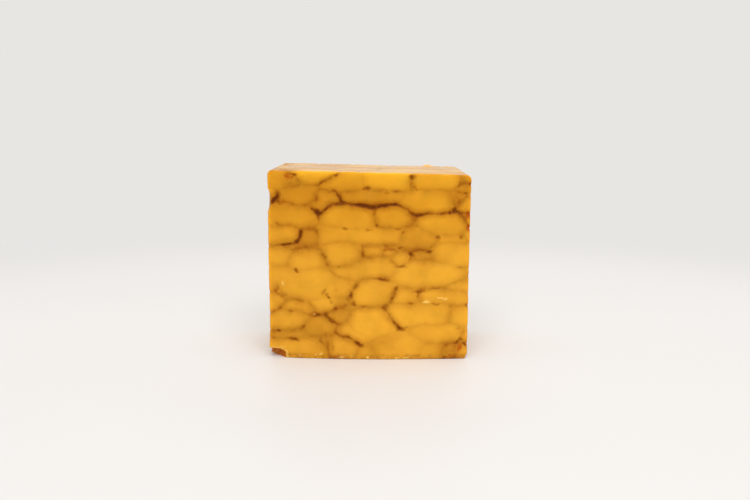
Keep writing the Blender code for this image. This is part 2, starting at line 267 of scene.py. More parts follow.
# How dark the seams between the front's curds are, from 0 to 1. Those not listed are faint.
FAINT_INK = 0.07
SEAM_INK = (
    (1.00, "b4-c3 b4-c4"),
    (0.88, "b3-b4 b3-c3"),
    (0.80, "b5-c5 b3-c2 d1-d2 b6-c5 b1-b2 b7-c5 g1-g2 h7-j3"),
    (0.68, "b1-c2 d1-e1 h6-h8 h4-h5 g1-f3 a2-a3 c4-b5"),
    (0.60, "c3-c4 h1-f1 h1-h2 h1-h3 h2-f1 h2-f2 h2-f6 h3-i1 e6-e7 e4-e5"),
    (0.60, "d1-e3 d1-e2 b3-a3 j8-i4 i3-j8 j2-j3 e3-e4"),
    (0.54, "g1-h6 c5-c6 c2-c3 i1-j1 h5-f6 h5-h2 f5-g3 e1-e3 e9-d3 b2-b3"),
    (0.46, "c2-d1 b2-c2 a2-b3 c2-d2 d3-e5 a3-b4 a4-b4 e7-d4 g1-f4 h2-h3 h4-f6"),
    (0.46, "c4-d3 c4-d4 d2-d3 a5-a7 e6-d4 h4-f3 h4-h6 h5-h7 h5-j2 f3-f4 i2-j3"),
    (0.36, "a4-a5 a6-a7 a7-b6 b5-b6 b6-b7 i3-j7 j7-j8 c5-d4 c4-c5 f2-e4 f2-f4 e6-f4 e6-e9 e6-f5"),
    (0.36, "g2-g3 g2-h8 f5-g2 h3-h5 h4-h7 i2-h5 i2-j2 i2-h7 d2-e3 e5-f4"),
    (0.28, "e5-e9 a3-a4 a5-a6 d4-d5 d4-e8 e7-e8 e7-f5 e4-f4 f5-g4 g3-h9 g4-g3 h8-h9 h9-i3"),
    (0.28, "i3-i4 j6-j7 e9-f4"),
    (0.20, "a1-b2 a2-b2 a5-b5 a5-b6 d3-e4 d3-d4 e8-f5 g3-h8 h8-i3 c5-d5 d5-d6 e1-e2 e2-e3 j3-j4"),
    (0.00, "b4-b5 f4-f5 f2-f3 f2-f6 f3-f6 h6-h7 h8-j5 i3-j5 h6-j5 h7-j5 j5-j6 f1-f2"),
)

# Dark knots on the front where seams meet: x, z, half width and half height in millimetres,
# tilt in degrees, and strength
KNOTS = (
    (-32.2, 75.3, 2.2, 0.7, 0, 0.8),
    (-30.0, 74.8, 1.3, 0.8, 0, 0.9),
    (-28.9, 72.8, 0.8, 1.2, 20, 0.5),
    (-21.0, 60.0, 1.5, 1.4, 30, 1.0),
    (-22.8, 61.0, 1.2, 0.5, -35, 0.8),
    (-20.5, 57.6, 0.5, 1.6, 0, 0.7),
    (-36.3, 66.3, 0.9, 1.5, -20, 0.9),
    (-38.4, 64.6, 1.7, 0.8, 35, 0.9),
    (-35.5, 63.0, 1.2, 0.7, 0, 0.5),
    (34.0, 60.8, 1.2, 1.0, 0, 1.0),
    (33.9, 63.6, 0.4, 2.0, 4, 0.5),
    (36.5, 59.8, 1.8, 0.7, -15, 0.7),
    (39.4, 59.3, 0.8, 0.8, 0, 1.0),
    (39.7, 54.4, 0.5, 0.9, 0, 0.9),
    (40.2, 71.6, 0.7, 1.5, 0, 0.8),
    (35.8, 71.2, 0.6, 2.2, -10, 0.6),
    (38.5, 67.5, 0.9, 0.8, 0, 0.6),
    (17.3, 73.9, 1.6, 1.1, 0, 1.0),
    (18.0, 69.7, 1.5, 0.8, -35, 0.7),
    (-1.0, 69.5, 1.8, 0.8, 15, 0.8),
    (-14.0, 68.4, 1.4, 0.7, -30, 0.9),
    (7.0, 67.5, 1.4, 0.8, 0, 0.7),
    (10.5, 68.0, 2.0, 0.7, 5, 0.6),
    (-13.0, 74.5, 0.9, 1.5, -20, 0.6),
    (-37.0, 55.5, 0.9, 0.8, 0, 0.6),
    (-27.5, 51.0, 0.9, 1.8, -10, 0.9),
    (-29.5, 48.0, 1.5, 0.9, 40, 0.8),
    (-33.2, 47.1, 3.2, 0.5, 3, 0.8),
    (36.6, 49.6, 0.8, 1.3, -15, 0.9),
    (16.3, 42.9, 1.0, 0.6, -30, 0.9),
    (17.5, 42.5, 0.9, 0.6, 30, 0.8),
    (16.3, 41.4, 0.6, 1.0, -15, 0.7),
    (23.8, 43.9, 1.9, 0.7, 20, 0.9),
    (-2.5, 43.5, 0.9, 1.5, 0, 0.5),
    (8.2, 44.6, 2.2, 0.6, 0, 1.0),
    (12.5, 45.6, 1.4, 0.6, 10, 0.8),
    (13.0, 37.9, 2.2, 0.7, 3, 0.9),
    (-17.5, 41.5, 0.8, 1.2, 30, 0.8),
    (-16.3, 39.8, 0.9, 1.0, 40, 0.6),
    (-12.5, 37.5, 0.9, 0.8, 0, 0.5),
    (-29.6, 36.2, 0.6, 1.5, 30, 1.0),
    (-37.3, 29.0, 1.0, 1.6, -15, 1.0),
    (-5.0, 29.5, 1.2, 1.5, -35, 0.6),
    (-7.3, 26.0, 0.8, 1.7, 10, 0.8),
    (-6.3, 22.9, 1.4, 1.2, 0, 0.9),
    (-4.2, 31.0, 0.7, 1.8, -40, 0.5),
    (-2.5, 21.9, 2.0, 0.6, -5, 0.7),
    (5.4, 32.4, 3.0, 0.6, -16, 0.9),
    (10.5, 29.0, 1.3, 1.0, 30, 0.6),
    (8.8, 27.0, 0.8, 1.0, 0, 0.6),
    (6.3, 21.2, 1.8, 1.5, 30, 0.8),
    (9.0, 17.5, 1.0, 2.2, 20, 0.4),
    (12.2, 12.7, 2.0, 1.1, -15, 1.0),
    (10.3, 14.6, 0.9, 1.5, 30, 0.7),
    (14.6, 13.1, 1.5, 0.7, 10, 0.6),
    (-30.0, 22.5, 0.9, 0.9, 0, 0.6),
    (-36.5, 20.5, 1.0, 1.2, 0, 0.5),
    (-32.0, 19.5, 1.6, 0.7, -15, 0.5),
    (-21.3, 18.0, 1.7, 0.7, 15, 0.7),
    (-17.5, 18.1, 1.0, 0.9, 0, 0.6),
    (-14.0, 20.5, 1.1, 1.1, -20, 0.6),
    (-9.0, 20.5, 0.9, 0.9, 0, 0.4),
    (-15.2, 15.6, 1.6, 0.8, -35, 0.7),
    (-37.0, 11.3, 1.0, 0.8, 0, 0.6),
    (-27.0, 13.0, 1.1, 0.7, 20, 0.6),
    (-30.6, 11.4, 1.4, 0.6, 0, 0.5),
    (-31.0, 7.8, 2.5, 0.7, -12, 0.8),
    (-20.0, 7.5, 1.0, 1.6, 20, 0.5),
    (-15.0, 4.5, 1.0, 1.8, 10, 0.7),
    (-4.3, 5.9, 2.6, 0.9, -20, 0.8),
    (-13.3, 11.0, 1.5, 0.6, -25, 0.5),
    (20.5, 27.7, 3.4, 0.7, 3, 0.9),
    (19.4, 26.4, 0.6, 1.3, 0, 0.7),
    (27.0, 29.0, 2.6, 0.5, 12, 0.5),
    (16.4, 23.0, 1.2, 0.7, 0, 0.7),
    (26.6, 22.5, 2.2, 0.6, 0, 0.7),
    (32.5, 21.5, 1.0, 0.8, 0, 0.5),
    (39.3, 22.0, 1.2, 0.9, 0, 0.7),
    (35.8, 32.0, 2.0, 0.8, 10, 0.4),
    (36.5, 37.5, 1.6, 0.7, -10, 0.5),
    (32.0, 38.0, 1.2, 0.6, -10, 0.4),
    (18.5, 56.0, 0.8, 1.0, 0, 0.5),
    (13.5, 51.7, 0.9, 0.7, 40, 0.7),
    (11.3, 53.0, 2.0, 0.6, 0, 0.5),
    (27.6, 49.8, 1.1, 0.9, 0, 0.8),
    (-9.8, 53.2, 1.4, 0.7, 0, 0.8),
    (-0.3, 52.6, 1.4, 0.7, 0, 0.7),
    (3.0, 54.5, 0.8, 1.5, 0, 0.5),
    (37.0, 8.1, 1.1, 0.7, 0, 1.0),
    (35.6, 7.1, 1.3, 0.6, 40, 0.9),
    (38.5, 5.8, 0.5, 1.1, 15, 0.8),
    (31.0, 5.6, 1.0, 0.5, 0, 0.5),
    (36.0, 12.3, 1.1, 0.8, 0, 0.6),
    (31.8, 0.3, 3.0, 0.7, 0, 0.9),
    (-18.1, 28.0, 0.7, 1.2, -30, 1.1),
    (-17.4, 26.4, 0.8, 0.8, 0, 1.1),
    (-16.6, 25.4, 1.0, 0.6, -30, 1.0),
    (-19.2, 26.9, 0.6, 0.6, 0, 1.0),
    (-13.3, 28.2, 0.8, 0.6, 0, 0.5),
    (-15.7, 23.5, 0.8, 0.8, 0, 0.9),
    (-13.0, 0.8, 1.6, 1.6, 0, 0.7),
    (-11.5, 0.2, 3.0, 0.4, 0, 1.0),
    (-38.5, 64.9, 1.0, 1.3, 0, 0.6),
)

# Bits of pepper on the front, in the same way
PEPPER_BITS = (
    (-33.0, 74.3, 1.3, 0.9, -10, 0.9),
    (-30.8, 73.9, 1.4, 0.8, 0, 0.8),
    (39.4, 58.8, 1.2, 1.5, 0, 1.0),
    (39.6, 53.4, 1.0, 1.7, 0, 1.0),
    (36.4, 4.6, 1.0, 1.7, -20, 1.0),
    (32.6, 1.4, 1.2, 0.9, 0, 0.7),
    (-38.3, 28.0, 0.9, 1.4, 0, 0.7),
)

# Broad brown stains on the front, in the same way
BLOOMS = (
    (-30.5, 73.2, 4.0, 3.2, 0, 1.3),
    (-36.0, 64.5, 3.0, 3.5, 0, 0.6),
    (-29.0, 45.5, 3.5, 2.0, 0, 0.6),
    (35.0, 63.0, 2.8, 5.0, 0, 0.9),
    (38.5, 60.0, 3.0, 4.0, 0, 0.5),
    (22.5, 41.5, 4.0, 2.0, 0, 0.6),
    (19.5, 47.0, 4.5, 3.0, 0, 0.3),
    (-12.5, 18.0, 4.0, 4.0, 0, 0.5),
    (-38.2, 27.5, 2.8, 4.5, 0, 1.0),
    (-17.5, 7.5, 3.0, 3.5, 0, 0.5),
    (32.0, 4.0, 3.5, 4.0, 0, 0.7),
    (17.5, 57.5, 2.0, 2.5, 0, 0.5),
    (16.3, 72.0, 1.8, 3.2, 0, 1.0),
    (-18.5, 27.5, 2.2, 2.5, 0, 0.3),
    (9.0, 8.0, 3.0, 1.3, 15, 0.5),
    (4.5, 6.8, 2.5, 1.0, 0, 0.3),
    (38.2, 70.5, 2.4, 4.5, 0, 0.9),
    (-7.5, 27.0, 1.5, 4.5, 0, 0.4),
)

# Pale crumbs on the front, and a few painted highlights among them, in the same way
CRUMBS_AND_GLINTS = (
    (-35.1, 31.0, 0.9, 1.6, 10, 0.8),
    (22.7, 23.5, 2.0, 0.8, 5, 1.0),
    (28.7, 25.1, 1.8, 0.7, -5, 0.9),
    (30.3, 24.7, 1.5, 0.7, 0, 0.9),
    (31.6, 25.3, 0.6, 0.8, 0, 0.7),
    (-22.4, 18.4, 0.9, 0.7, 0, 0.7),
    # The next four are painted highlights, not crumbs
    (-9.5, 53.8, 1.5, 0.5, 0, 0.3),
    (7.3, 8.7, 1.2, 0.8, -20, 0.4),
    (6.9, 24.5, 0.7, 1.8, 0, 0.25),
    (-13.2, 28.0, 1.4, 1.0, 0, 0.3),
    (-21.8, 1.6, 1.2, 0.6, 0, 0.9),
    (-19.6, 1.9, 1.0, 0.9, 20, 0.9),
    (-16.2, 1.0, 0.8, 0.8, 0, 0.6),
    (-10.5, 1.3, 1.6, 0.4, 0, 0.7),
    (-7.0, 1.4, 1.6, 0.5, 0, 0.7),
    (-4.0, 1.2, 1.0, 0.4, 0, 0.6),
    (-0.8, 0.9, 0.9, 0.8, 0, 1.0),
    (11.0, 0.6, 1.2, 0.5, 0, 0.9),
    (14.5, 0.5, 1.8, 0.4, 0, 0.8),
    (-26.0, 1.0, 2.0, 0.4, 0, 0.5),
    (-35.8, 4.4, 2.2, 0.35, 0, 0.9),
    (-33.8, 2.5, 0.5, 1.4, -35, 0.8),
)

# Brown stains on the top: x, y, half width and half depth in millimetres, tilt in degrees,
# and strength
TOP_STAINS = (
    (-40.0, -8.0, 1.8, 13.0, 0, 1.45),
    (-37.5, 17.0, 3.5, 7.0, 0, 0.95),
    (-32.5, -20.0, 4.5, 9.0, 20, 0.95),
    (-18.0, 15.0, 15.0, 3.0, -2, 0.6),
    (2.0, 4.0, 13.0, 2.5, -4, 0.5),
    (20.0, 6.0, 12.0, 2.0, 2, 0.25),
    (-5.0, -14.0, 12.0, 2.0, -4, 0.3),
)

# Colours, linear: the cheese where it is bright, gold, for the flake and for the painted light along
# the upright edges, the painted light below the front's top edge, its crumbs and its painted
# highlights, the bite's wall, its brown stain together with painted shade, and the pepper, and
# how seams, knots and stains darken it step by step
BRIGHT_HIGH = (0.765, 0.356, 0.018)
BRIGHT_LOW = (0.775, 0.382, 0.030)
OLIVE = (0.655, 0.329, 0.020)
GOLD_FLAKE_AND_EDGE_GLOW = (0.90, 0.435, 0.023)
BROW_PAINTED_GLOW = (0.87, 0.455, 0.023)
CRUMB_AND_GLINT = (0.88, 0.54, 0.12)
BITE_WALL_STAIN_AND_SHADE = (0.46, 0.112, 0.002)
PEPPER = (0.42, 0.08, 0.001)
DARKENING = (
    (0.00, (1.00, 1.00, 1.00)),
    (0.21, (0.77, 0.69, 0.60)),
    (0.34, (0.65, 0.55, 0.42)),
    (0.55, (0.49, 0.32, 0.16)),
    (0.74, (0.32, 0.19, 0.06)),
    (1.00, (0.19, 0.085, 0.01)),
)

# The air behind the block and before it, and the ways along Y between which it changes. Then the
# floor before, behind and right beside the block, painted lighter behind and beside the block:
# painted light that makes up for light falling off towards the back and shade by the block.
AIR_BEHIND = (0.805, 0.79, 0.768)
AIR_BEFORE = (0.66, 0.65, 0.635)
AIR_TURN = (-0.5, 0.3)
FLOOR_NEAR = (0.738, 0.724, 0.713)
FLOOR_FAR_PAINTED_LIGHTER = (0.785, 0.77, 0.76)
FLOOR_BY_BLOCK_PAINTED_LIGHTER = (0.80, 0.80, 0.797)

# The floor: its reach, how far it lies below the block's foot, and along Y where its near tone
# turns into its far one, painted lighter. Then, by distance from the block's middle, where it turns
# into the painted lighter tone beside the block and where it fades into the air.
FLOOR_REACH = 2.0
FLOOR_DROP = 0.02 * MM
FLOOR_TURN = (-0.17, 0.05)
FLOOR_BESIDE = (0.12, 0.04)
FLOOR_FADE = (0.22, 0.40)

# The two soft lights
SOFTBOX_SIZE = (1.0, 0.8)
FRONT_BOX_AT = (0.05, -1.0, 1.05)
FRONT_BOX_TILT = math.radians(43)
FRONT_BOX_WATTS = 13.0
BACK_BOX_AT = (0.1, 1.1, 0.9)
BACK_BOX_TILT = math.radians(-50)
BACK_BOX_WATTS = 1.6

# Camera: a 50 mm lens at the photograph's height and angle
LENS = 50.0
SENSOR = 36.0
CAMERA_AT = (2.15 * MM, -439.4 * MM, 103.2 * MM)
CAMERA_PITCH = math.radians(8.05)


def lattice_lines(length, cell):
    """Places along one side of the block: steps round each edge and even steps between."""
    inner = length - 2 * EDGE_RADIUS
    steps = round(inner / cell)
    edge = [EDGE_RADIUS * step / EDGE_STEPS for step in range(EDGE_STEPS)]
    even = [EDGE_RADIUS + inner * step / steps for step in range(steps + 1)]
    return edge + even + [length - place for place in reversed(edge)]


def lattice_shell():
    """The six faces of the block as one closed sheet of quads."""
    sides = [np.array(lattice_lines(length, cell))
             for length, cell in zip((WIDTH, DEPTH, HEIGHT_LEFT), CELLS)]
    last = [len(side) - 1 for side in sides]
    number = -np.ones([count + 1 for count in last], dtype=int)
    rim = np.zeros(number.shape, dtype=bool)
    for axis in range(3):
        for end in (0, last[axis]):
            np.moveaxis(rim, axis, 0)[end] = True
    places = np.argwhere(rim)
    number[rim] = np.arange(len(places))
    points = np.stack([sides[axis][places[:, axis]] for axis in range(3)], axis=1)
    quads = []
    for axis in range(3):
        for end in (0, last[axis]):
            sheet = np.moveaxis(number, axis, 0)[end]
            ring = [sheet[:-1, :-1], sheet[1:, :-1], sheet[1:, 1:], sheet[:-1, 1:]]
            quad = np.stack([corner.ravel() for corner in ring], axis=1)
            outward = (end > 0) != (axis == 1)
            quads.append(quad if outward else quad[:, ::-1])
    middle = np.array([WIDTH / 2, DEPTH / 2, 0.0])
    return points - middle, np.concatenate(quads)


def round_edges(points):
    """Rounds the block's edges, the foot's the least. Gives the new points and the ways out there."""
    low = np.array([-WIDTH / 2, -DEPTH / 2, 0.0]) + EDGE_RADIUS
    high = np.array([WIDTH / 2, DEPTH / 2, HEIGHT_LEFT]) - EDGE_RADIUS
    core = np.clip(points, low, high)
    outward = points - core
    outward /= np.linalg.norm(outward, axis=1)[:, None]
    rounded = core + outward * EDGE_RADIUS
    sharp = FOOT_SHARPNESS * (outward[:, 2] < 0)
    return rounded + (points - rounded) * sharp[:, None], outward


def free_to_slide(points):
    """Which ways a point may move and stay on its face: 1 along the face, 0 across or at an edge."""
    half = np.array([WIDTH, DEPTH, HEIGHT_LEFT]) / 2
    from_middle = np.abs(points - np.array([0.0, 0.0, HEIGHT_LEFT / 2]))
    return (from_middle < half - EDGE_RADIUS - SNAP_REACH / 2).astype(float)


def ripple(points, length, seed):
    """A smooth wandering value from -1 to 1 at each point."""
    rng = np.random.default_rng(seed)
    total = np.zeros(len(points))
    for wave in range(RIPPLE_WAVES):
        way = rng.normal(size=3)
        way /= np.linalg.norm(way)
        pace = 2 * np.pi / (length * rng.uniform(*RIPPLE_PACE))
        total += np.sin(points @ way * pace + rng.uniform(0, 2 * np.pi))
    return total / RIPPLE_WAVES


def cut_shape(points, outward):
    """The cut faces: a sloping top, a leaning side, a bowed, wavy front and its worn foot."""
    shaped = points.copy()
    across = points[:, 0] / WIDTH + 0.5
    forward = 0.5 - points[:, 1] / DEPTH
    rise = points[:, 2] / HEIGHT_LEFT
    shaped[:, 2] *= (HEIGHT_LEFT + (HEIGHT_RIGHT - HEIGHT_LEFT) * across) / HEIGHT_LEFT
    shaped[:, 0] -= RIGHT_LEAN * across * (1 - rise)
    bulge = 4 * across * (1 - across) * (1 - rise) ** 2
    shaped[:, 1] += FRONT_BOW * forward * (1 - bulge)
    sweep = np.clip(1 - across / LEFT_SWEEP_SHARE, 0, 1) ** 2 * (1 - rise) ** 2
    shaped[:, 1] += LEFT_SWEEP * forward * sweep
    low = np.clip(1 - points[:, 2] / FOOT_CORNER_HEIGHT, 0, 1) ** 2
    shaped[:, 0] -= FOOT_CORNER * low * across ** 8
    spread = np.clip(1 - points[:, 2] / LEFT_FOOT_HEIGHT, 0, 1) * (1 - across) ** 8
    shaped[:, 0] -= LEFT_FOOT_SPREAD * spread * forward
    dip = FACE_WAVE * (ripple(points, FACE_WAVE_LENGTH, FACE_SEED) - 1) / 2
    dip *= np.clip(points[:, 2] / FLAT_FOOT, 0, 1)
    return shaped + outward * dip[:, None]


def wear_edges(points):
    """Rubs down the two upper side edges, more and more towards the back."""
    worn = points.copy()
    backward = np.clip(points[:, 1] / DEPTH + 0.5, 0, 1)
    for side, front_radius, back_radius in WORN_EDGES:
        radius = front_radius + (back_radius - front_radius) * backward
        corner = np.array([side * WIDTH / 2, 0, HEIGHT_LEFT if side < 0 else HEIGHT_RIGHT])
        for turn in WORN_TURNS:
            way = np.array([side * math.cos(turn), 0, math.sin(turn)])
            loss = radius * (math.cos(turn) + math.sin(turn) - 1)
            over = np.maximum((worn - corner) @ way + loss, 0)
            worn -= way * over[:, None]
    return worn


def curd_balls(centre, half_length, half_thickness, heading, tilt):
    """A curd as a row of balls, in the bed before pressing, where z is FLATNESS times longer."""
    radius = half_thickness * FLATNESS
    reach = half_length - radius
    if reach <= 0:
        radius = (half_length * half_thickness * FLATNESS) ** 0.5
        steps = [0.0]
    else:
        steps = np.linspace(-reach, reach, max(2, int(np.ceil(2 * reach / radius)) + 1))
    way = np.array([np.cos(heading) * np.cos(tilt), np.sin(heading) * np.cos(tilt), np.sin(tilt)])
    stretch = np.array([1, 1, FLATNESS])
    return [((centre + way * step) * stretch, radius) for step in steps]


def front_curds():
    """The front's curds from their table, with their middles a little behind the face."""
    face = -DEPTH / 2 + FRONT_CURD_INSET
    for name, x, z, half_width, half_height, tilt, tone in FRONT_CURDS:
        centre = np.array([x * MM, face, z * MM])
        yield curd_balls(centre, half_width * MM, half_height * MM, 0.0, np.radians(tilt))


def bed_curds(rng, taken):
    """Fills the rest of the block with curds that keep their distance from those before them."""
    low = (-WIDTH / 2 - BED_MARGIN, -DEPTH / 2 + BED_MARGIN, -BED_MARGIN)
    high = (WIDTH / 2 + BED_MARGIN, DEPTH / 2 + BED_MARGIN, HEIGHT_LEFT + BED_MARGIN)
    for attempt in range(BED_TRIES):
        centre = np.array([rng.uniform(a, b) for a, b in zip(low, high)])
        half_thickness = rng.uniform(*CURD_HALF_THICKNESS)
        half_length = rng.uniform(*CURD_HALF_LENGTH)
        heading = rng.uniform(0, np.pi)
        tilt = rng.gauss(0, CURD_TILT_SPREAD)
        balls = curd_balls(centre, half_length, half_thickness, heading, tilt)
        places = np.array([place for place, radius in balls])
        gaps = np.linalg.norm(np.array(taken)[None] - places[:, None], axis=2)
        if gaps.min() > BED_SPACING:
            taken.extend(places)
            yield balls


def lay_bed():
    """Every ball in the block: places, radii, and the number of the curd that each belongs to."""
    curds = list(front_curds())
    taken = [place for balls in curds for place, radius in balls]
    curds.extend(bed_curds(random.Random(BED_SEED), taken))
    places = np.array([place for balls in curds for place, radius in balls])
    radii = np.array([radius for balls in curds for place, radius in balls])
    owners = np.array([number for number, balls in enumerate(curds) for ball in balls])
    return places, radii, owners


def seam_slope(points, bed):
    """Each point's own curd, how deep it lies in it, and its next curds: how much farther, and where."""
    places, radii, owners = bed
    loose = points.copy()
    for axis in range(3):
        loose[:, axis] += SEAM_WANDER * ripple(points, SEAM_WANDER_LENGTH, WANDER_SEED + axis)
        loose[:, axis] += FINE_WANDER * ripple(points, FINE_WANDER_LENGTH, FINE_SEED + axis)
    loose[:, 2] *= FLATNESS
    own_curd = np.zeros(len(points), dtype=int)
    rim = np.zeros(len(points))
    next_curds = np.zeros((len(points), SEAMS_FELT), dtype=int)
    excess = np.zeros((len(points), SEAMS_FELT))
    ways = np.zeros((len(points), SEAMS_FELT, 3))
    for start in range(0, len(points), BATCH):
        part = slice(start, start + BATCH)
        near = loose[part]
        power = (near ** 2).sum(1)[:, None] - 2 * near @ places.T + (places ** 2).sum(1) - radii ** 2
        rows = np.arange(len(near))
        own = power.argmin(1)
        nearest = power[rows, own]
        own_curd[part] = owners[own]
        rim[part] = nearest / radii[own] ** 2
        power[owners[None] == owners[own][:, None]] = np.inf
        for turn in range(SEAMS_FELT):
            other = power.argmin(1)
            next_curds[part, turn] = owners[other]
            excess[part, turn] = (power[rows, other] - nearest) / 2
            ways[part, turn] = places[other] - places[own]
            power[owners[None] == owners[other][:, None]] = np.inf
    ways[:, :, 2] *= FLATNESS
    return own_curd, rim, next_curds, excess, ways


def seam_distances(points, slide, bed):
    """How far each point is from its nearest seams along the face, the first step, and the curds."""
    own_curd, rim, next_curds, excess, ways = seam_slope(points, bed)
    along = ways * slide[:, None]
    steepness = np.maximum((along ** 2).sum(2), FLATTEST_CROSSING ** 2 * (ways ** 2).sum(2))
    step = along[:, 0] * (excess[:, 0] / steepness[:, 0])[:, None]
    return excess / np.sqrt(steepness), step, own_curd, rim, next_curds


def rounded_distance(distances):
    """The distance to the nearest seam, shorter where seams meet, which rounds the curds' corners."""
    return -CORNER_ROUNDING * np.log(np.exp(-distances / CORNER_ROUNDING).sum(1))


def snap_to_seams(points, slide, bed):
    """Moves the points nearest to a seam onto it, so that the lattice follows the seams."""
    moved = points.copy()
    for turn in range(SNAP_TURNS):
        distances, step, *others = seam_distances(moved, slide, bed)
        near = distances[:, 0] < SNAP_REACH
        moved[near] += step[near]
    return moved


def split_quads(points, ring, distance):
    """Halves each quad along the diagonal nearer to a seam, unless that leaves a thin triangle."""
    corners = points[ring]

    def halves(start):
        order = np.roll(np.arange(4), -start)
        first, second = order[[0, 1, 2]], order[[0, 2, 3]]
        sizes = []
        for half in (first, second):
            a, b, c = (corners[:, place] for place in half)
            sizes.append(np.linalg.norm(np.cross(b - a, c - a), axis=1) / 2)
        return ring[:, first], ring[:, second], np.minimum(*sizes)

    along, across = halves(0), halves(1)
    depth = distance[ring]
    prefer_along = depth[:, 0] + depth[:, 2] <= depth[:, 1] + depth[:, 3]
    preferred = np.where(prefer_along, along[2], across[2])
    pick_along = np.where(preferred > THINNEST_TRIANGLE, prefer_along, along[2] > across[2])[:, None]
    first = np.where(pick_along, along[0], across[0])
    second = np.where(pick_along, along[1], across[1])
    return np.concatenate([first, second])


def press_nick(points):
    """Pushes the points inside the nick's ellipsoid into the block, out to its far wall."""
    offset = (points - NICK_CENTRE) / NICK_RADII
    step = np.array(NICK_WAY) / NICK_RADII
    a = (step ** 2).sum()
    b = offset @ step
    c = (offset ** 2).sum(1) - 1
    travel = np.where(c < 0, (-b + np.sqrt(np.maximum(b ** 2 - a * c, 0))) / a, 0)
    return points + travel[:, None] * NICK_WAY


def bite_depth(points):
    """Where each point is in the bite: 0 at the block's corner, 1 at the bite's wall."""
    away = np.abs(points - BITE_CORNER) / BITE_REACH
    level = (away[:, 0] + away[:, 1]) ** BITE_SQUARENESS
    return (level + away[:, 2] ** BITE_SQUARENESS) ** (1 / BITE_SQUARENESS)


def break_corner(points):
    """Pushes the points inside the bite into the block, out to its rough wall."""
    size = 1 + BITE_CRAGS * ripple(points, BITE_CRAG_LENGTH, FINE_SEED)
    inside = bite_depth(points) < size
    loose, size = points[inside], size[inside]
    near, far = np.zeros(len(loose)), np.full(len(loose), max(BITE_REACH))
    for turn in range(BITE_HALVINGS):
        middle = (near + far) / 2
        short = bite_depth(loose + middle[:, None] * BITE_WAY) < size
        near, far = np.where(short, middle, near), np.where(short, far, middle)
    broken = points.copy()
    broken[inside] += near[:, None] * BITE_WAY
    return broken


def on_flake(points, outward):
    """How far each point belongs to the flake that stands up from the top near the back edge."""
    from_centre = np.abs(points[:, :2] - FLAKE_CENTRE) / FLAKE_HALF_SIZE
    return np.clip(1 + FLAKE_SLOPE - from_centre.max(1), 0, 1) * (outward[:, 2] > 0.5)


def on_front(outward):
    """How far a point belongs to the front face, from 0 to 1."""
    return np.clip(-outward[:, 1] * 1.6 - 0.3, 0, 1)


def near_edges(points, outward):
    """How near each point is to the block's upright edges, from 0 to 1 right at an edge, for the painted
    glow along them.
    """
    half = np.array([WIDTH, DEPTH]) / 2
    inset = half - np.abs(points[:, :2])
    side_on = np.abs(outward[:, 0]) > np.abs(outward[:, 1])
    gap = np.where(side_on, inset[:, 1], inset[:, 0])
    return np.exp(-np.maximum(gap - EDGE_GLOW_START, 0) / EDGE_GLOW_REACH)


def below_brow(points):
    """How near each point is to the top, from 0 to 1 along the middle of the front's top edge, for the
    painted glow below that edge and on the top.
    """
    top = HEIGHT_LEFT + (HEIGHT_RIGHT - HEIGHT_LEFT) * (points[:, 0] / WIDTH + 0.5)
    near = np.exp(-np.maximum(top - EDGE_RADIUS - points[:, 2], 0) / BROW_GLOW_REACH)
    beyond = (np.abs(points[:, 0] - BROW_MIDDLE) - BROW_HALF_LENGTH) / BROW_FADE
    behind = points[:, 1] + DEPTH / 2 - FRONT_BOW - EDGE_RADIUS
    share = np.clip(behind / TOP_GLOW_TURN, 0, 1)
    return near * ((1 - share) * (1 - BROW_LOSS * np.clip(beyond, 0, 1)) + share * TOP_GLOW)


def ragged_foot(points, outward):
    """Where the cut crumbled along the base, the faces step in by an uneven amount."""
    low = np.clip(1.5 - points[:, 2] / FOOT_HEIGHT, 0, 1)
    coarse, fine = (ripple(points, length, seed)
                    for length, seed in zip(CRUMBLE_LENGTHS, CRUMBLE_SEEDS))
    crumble = np.clip(0.5 + coarse + 0.6 * fine, 0, 1)
    side_on = np.clip(1 - np.abs(outward[:, 2]) * 1.5, 0, 1)
    return FOOT_RAGGED * low * crumble * side_on


def ink_table(curds):
    """How dark each pair of curds leaves its seam: the front's as listed, the others by chance."""
    rng = np.random.default_rng(INK_SEED)
    chance = FAINT_INK + CHANCE_INK * rng.uniform(size=(curds, curds)) ** CHANCE_SKEW
    ink = np.triu(chance) + np.triu(chance, 1).T
    names = [row[0] for row in FRONT_CURDS]
    ink[:len(names), :len(names)] = FAINT_INK
    for strength, pairs in SEAM_INK:
        for pair in pairs.split():
            first, second = (names.index(name) for name in pair.split("-"))
            ink[first, second] = ink[second, first] = strength
    return ink


def seam_ink(points, front, own_curd, next_curds, distances):
    """How dark the seam beside each point is. Away from the front it fades here and there."""
    count = max(own_curd.max(), next_curds.max()) + 1
    inks = ink_table(count)[own_curd[:, None], next_curds]
    weights = np.exp((distances[:, :1] - distances) / INK_BLEND)
    fade = np.clip(0.5 + ripple(points, FADE_LENGTH, FADE_SEED), 0, 1)
    return (inks * weights).sum(1) / weights.sum(1) * (1 - CHANCE_FADE * (1 - front) * fade)


def chance_knots(points, distances):
    """Dark knots at some of the places where three curds meet."""
    meeting = np.exp(-((distances[:, :2] / MEETING_REACH) ** 2).sum(1))
    slope, middle = KNOT_SHARE
    patches = slope * ripple(points, KNOT_PATCH_LENGTH, KNOT_SEED) + middle
    return meeting * np.clip(patches, 0, KNOT_LIMIT)


def rough_places(points):
    """The points' x and z in millimetres, stirred a little so that no spot comes out round."""
    stir = [ripple(points, SPOT_STIR_LENGTH, SPOT_SEED + axis) for axis in range(2)]
    return points[:, [0, 2]] / MM + np.stack(stir, axis=1) * SPOT_STIR


